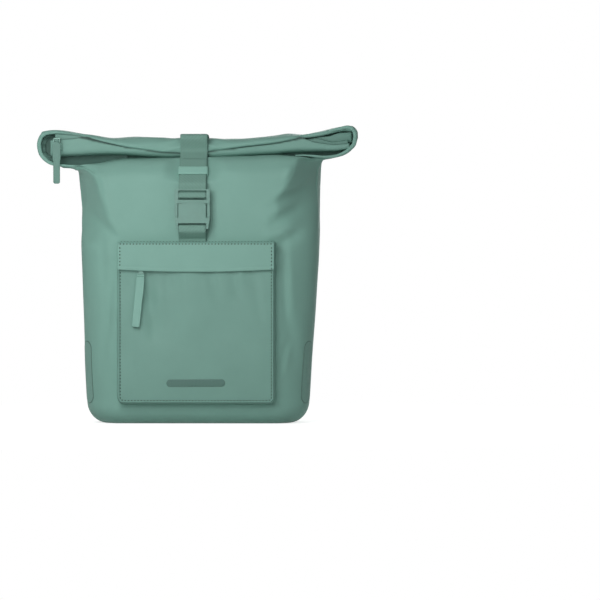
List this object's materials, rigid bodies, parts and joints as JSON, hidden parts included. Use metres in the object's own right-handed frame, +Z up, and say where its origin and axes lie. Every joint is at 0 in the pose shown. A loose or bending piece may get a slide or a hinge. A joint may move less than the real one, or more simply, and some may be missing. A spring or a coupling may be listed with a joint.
{
  "type": "roll-top pannier bag",
  "caption": "Roll-top bicycle pannier bag with a zipped front pocket, a buckled closing strap, and sprung hooks that hang it from a rack.",
  "frame": {"origin": "centre of the underside of the base", "axes": "+X to the right of someone facing the front pocket, the front faces -Y and the rack hooks +Y, +Z up"},
  "size_m": [0.444, 0.1934, 0.4115],
  "materials": {
    "fabric": "matt",
    "webbing": "matt",
    "keeper": "matt",
    "board": "matt",
    "zip_tape": "matt",
    "zip_teeth": "satin",
    "zip_metal": "satin",
    "pull": "matt",
    "reflector": "satin",
    "patch": "satin",
    "buckle": "satin",
    "rail": "matt",
    "hook": "satin",
    "liner": "matt",
    "latch": "satin",
    "pin": "satin",
    "spring": "satin",
    "screw": "satin"
  },
  "bodies": {
    "bag": {"front_panel": "fabric", "back_panel": "fabric", "left_side_panel": "fabric", "right_side_panel": "fabric", "base_panel": "fabric", "neck_sleeve": "fabric", "back_board": "board", "base_board": "board", "pocket_panel": "fabric", "flap_seam": "fabric", "pocket_zip_tape": "zip_tape", "pocket_zip_teeth": "zip_teeth", "reflector": "reflector", "left_side_patch": "patch", "right_side_patch": "patch", "buckle_socket": "buckle", "anchor_webbing": "webbing", "rear_strap": "webbing", "sewn_strap": "webbing", "hook_rail": "rail", "lower_rail": "rail", "rail_screws": "screw", "lower_rail_screws": "screw", "screw_nuts": "screw", "hook_screws": "screw", "rack_hook_left": "hook", "rack_hook_right": "hook", "hook_liner_left": "liner", "hook_liner_right": "liner", "latch_pin_left": "pin", "latch_pin_right": "pin", "latch_spring_left": "spring", "latch_spring_right": "spring", "anchor_pin": "pin"},
    "roll": {"roll_top": "fabric", "mouth_stiffener": "board", "mouth_zip_end": "zip_tape", "mouth_slider": "zip_metal", "strap_arch": "webbing"},
    "mouth_pull": {"mouth_pull": "pull"},
    "strap": {"closure_strap": "webbing", "buckle_plug": "buckle"},
    "keeper": {"strap_keeper": "keeper"},
    "left_arm": {"left_release_arm": "buckle"},
    "right_arm": {"right_release_arm": "buckle"},
    "flap": {"pocket_flap": "fabric"},
    "pocket_slider": {"pocket_zip_slider": "zip_metal"},
    "pocket_pull": {"pocket_pull": "pull"},
    "left_latch": {"latch_left": "latch"},
    "right_latch": {"latch_right": "latch"},
    "lower_hook": {"anchor_hook": "hook"}
  },
  "joints": [
    {"name": "roll_lift", "type": "slide", "parent": "bag", "child": "roll", "axis": [0, 0, 1], "range_m": [0, 0.11], "deforming": ["neck_sleeve", "rear_strap"]},
    {"name": "mouth_pull_swing", "type": "hinge", "parent": "roll", "child": "mouth_pull", "pos_m": [-0.1955, -0.0444, 0.3925], "axis": [-1, 0, 0], "range_deg": [0, 120]},
    {"name": "strap_release", "type": "slide", "parent": "roll", "child": "strap", "axis": [0, 0, 1], "range_m": [0, 0.035], "deforming": ["strap_arch"]},
    {"name": "keeper_slide", "type": "slide", "parent": "strap", "child": "keeper", "axis": [0, 0.6703, 0.7421], "range_m": [0, 0.011]},
    {"name": "left_arm_press", "type": "hinge", "parent": "strap", "child": "left_arm", "pos_m": [-0.0273, -0.081, 0.3011], "axis": [0, -1, 0], "range_deg": [0, 4], "stiffness_Nm_per_rad": 0.02},
    {"name": "right_arm_press", "type": "hinge", "parent": "strap", "child": "right_arm", "pos_m": [0.0173, -0.081, 0.3011], "axis": [0, 1, 0], "range_deg": [0, 4], "stiffness_Nm_per_rad": 0.02},
    {"name": "flap_lift", "type": "hinge", "parent": "bag", "child": "flap", "pos_m": [0, -0.0889, 0.2452], "axis": [-1, 0, 0], "range_deg": [0, 100]},
    {"name": "pocket_zip_run", "type": "slide", "parent": "bag", "child": "pocket_slider", "axis": [1, 0, 0], "range_m": [0, 0.16]},
    {"name": "pocket_pull_swing", "type": "hinge", "parent": "pocket_slider", "child": "pocket_pull", "pos_m": [-0.0755, -0.0863, 0.2045], "axis": [-1, 0, 0], "range_deg": [0, 90]},
    {"name": "left_latch_open", "type": "hinge", "parent": "bag", "child": "left_latch", "pos_m": [-0.095, 0.084, 0.305], "axis": [-1, 0, 0], "range_deg": [0, 55], "stiffness_Nm_per_rad": 0.02},
    {"name": "right_latch_open", "type": "hinge", "parent": "bag", "child": "right_latch", "pos_m": [0.095, 0.084, 0.305], "axis": [-1, 0, 0], "range_deg": [0, 55], "stiffness_Nm_per_rad": 0.02},
    {"name": "lower_hook_swivel", "type": "hinge", "parent": "bag", "child": "lower_hook", "pos_m": [0, 0.0768, 0.106], "axis": [0, 1, 0], "range_deg": [-90, 90]}
  ]
}
